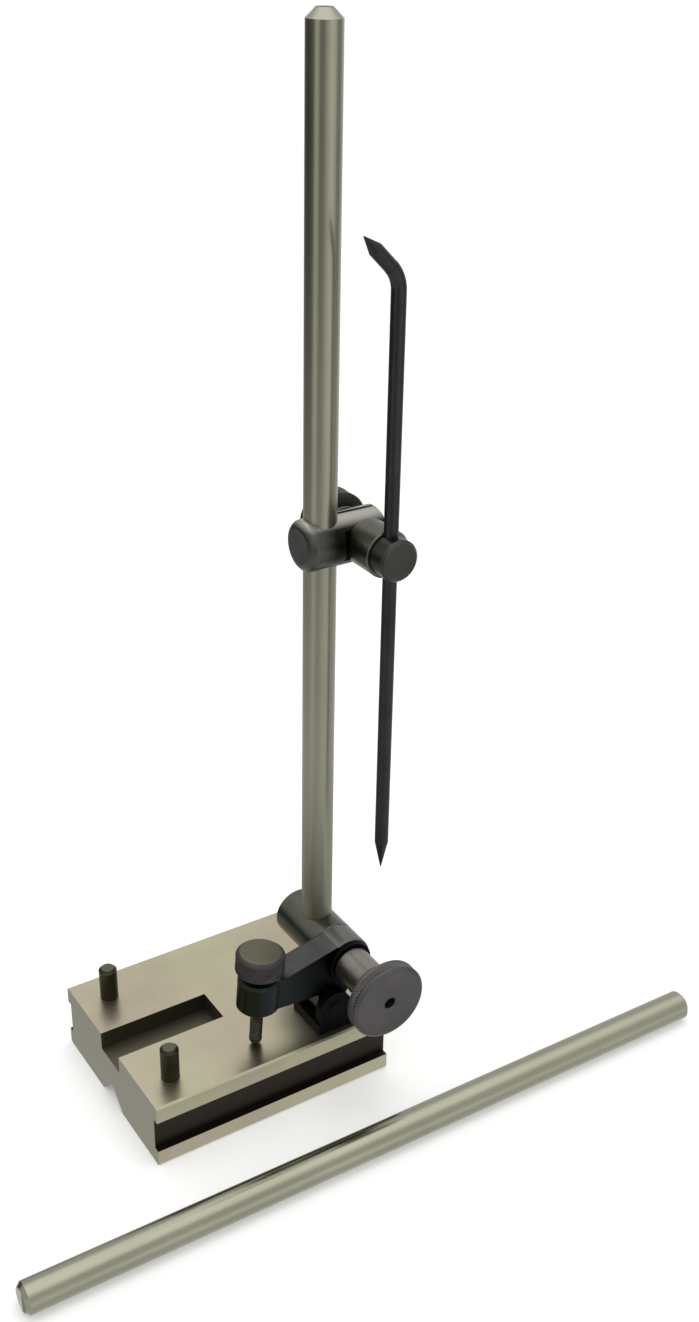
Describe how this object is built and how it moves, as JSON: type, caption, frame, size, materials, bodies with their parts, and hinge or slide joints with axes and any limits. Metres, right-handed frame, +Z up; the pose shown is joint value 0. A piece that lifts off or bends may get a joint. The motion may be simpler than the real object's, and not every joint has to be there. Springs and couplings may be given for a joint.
{
  "type": "surface gauge",
  "caption": "Surface gauge: grooved steel base with edge pins, a tilting rocker with fine screw, swivelling spindle, and a clamp holding a bent scriber.",
  "frame": {"origin": "centre of the base's underside, on the line along the middle of its groove", "axes": "+Z up from the surface it stands on, +X along the base towards the spindle, +Y towards the back"},
  "size_m": [0.234, 0.0991, 0.3145],
  "materials": {
    "ground_steel": "ground, with dark oxide left in the recesses",
    "bright_steel": "ground and polished bar",
    "black_steel": "black oxide",
    "collar_steel": "turned, bare",
    "spring_steel": "drawn wire",
    "scriber_steel": "hardened, black"
  },
  "bodies": {
    "base": {"base": "ground_steel", "pivot_bracket": "black_steel", "bracket_screws": "black_steel", "rocker_pivot_pin": "bright_steel", "rocker_spring": "spring_steel"},
    "edge_pin_front": {"edge_pin_front": "black_steel", "pin_ring_front": "spring_steel"},
    "edge_pin_back": {"edge_pin_back": "black_steel", "pin_ring_back": "spring_steel"},
    "rocker": {"rocker_arm": "black_steel"},
    "fine_screw": {"adjusting_screw": "black_steel"},
    "fine_knob": {"adjusting_knob": "black_steel"},
    "swivel": {"swivel_sleeve": "black_steel", "swivel_bolt": "black_steel", "swivel_washer": "collar_steel", "swivel_collar": "collar_steel"},
    "swivel_nut": {"swivel_nut": "black_steel"},
    "spindle": {"spindle": "bright_steel"},
    "clamp": {"clamp_body": "black_steel", "clamp_washer": "collar_steel"},
    "scriber_holder": {"clamp_bolt": "black_steel", "clamp_collar": "collar_steel"},
    "clamp_nut": {"clamp_nut": "black_steel"},
    "scriber": {"scriber": "scriber_steel"},
    "spare_spindle": {"spare_spindle": "bright_steel"}
  },
  "joints": [
    {"name": "front_pin_push", "type": "slide", "parent": "base", "child": "edge_pin_front", "axis": [0, 0, -1], "range_m": [0, 0.0105]},
    {"name": "back_pin_push", "type": "slide", "parent": "base", "child": "edge_pin_back", "axis": [0, 0, -1], "range_m": [0, 0.0105]},
    {"name": "rocker_tilt", "type": "hinge", "parent": "base", "child": "rocker", "pos_m": [0.0225, -0.022, 0.0306], "axis": [0, 1, 0], "range_deg": [-4.5, 4.5], "deforming": ["rocker_spring"]},
    {"name": "screw_travel", "type": "slide", "parent": "rocker", "child": "fine_screw", "axis": [-0.0698, 0, -0.9976], "range_m": [-0.00195, 0.00195]},
    {"name": "knob_turn", "type": "hinge", "parent": "fine_screw", "child": "fine_knob", "pos_m": [-0.00006, -0.022, 0.04924], "axis": [-0.0698, 0, -0.9976], "range_deg": [-985, 985]},
    {"name": "swivel_turn", "type": "hinge", "parent": "rocker", "child": "swivel", "pos_m": [0.0288, -0.022, 0.0439], "axis": [0, 1, 0], "range_deg": [-75, 90]},
    {"name": "swivel_nut_turn", "type": "hinge", "parent": "swivel", "child": "swivel_nut", "pos_m": [0.0288, -0.044, 0.0439], "axis": [0, 1, 0], "range_deg": [0, 270]},
    {"name": "spindle_turn", "type": "hinge", "parent": "swivel", "child": "spindle", "pos_m": [0.0288, -0.00755, 0.0439], "axis": [0, 0, 1], "continuous": true},
    {"name": "clamp_slide", "type": "slide", "parent": "spindle", "child": "clamp", "axis": [0, 0, 1], "range_m": [-0.033, 0.12]},
    {"name": "scriber_turn", "type": "hinge", "parent": "clamp", "child": "scriber_holder", "pos_m": [0.0404, -0.02, 0.177], "axis": [0, 1, 0], "continuous": true},
    {"name": "clamp_nut_turn", "type": "hinge", "parent": "clamp", "child": "clamp_nut", "pos_m": [0.0404, 0.003, 0.177], "axis": [0, 1, 0], "range_deg": [0, 270]},
    {"name": "scriber_slide", "type": "slide", "parent": "scriber_holder", "child": "scriber", "axis": [0, 0, 1], "range_m": [-0.034, 0.085]},
    {"name": "spare_lift", "type": "slide", "parent": "base", "child": "spare_spindle", "axis": [0, 0, 1], "range_m": [0, 0.1]}
  ],
  "couplings": [
    {"joint": "screw_travel", "follows": "rocker_tilt", "m_per_rad": 0.024358},
    {"joint": "knob_turn", "follows": "rocker_tilt", "ratio": 218.64}
  ]
}
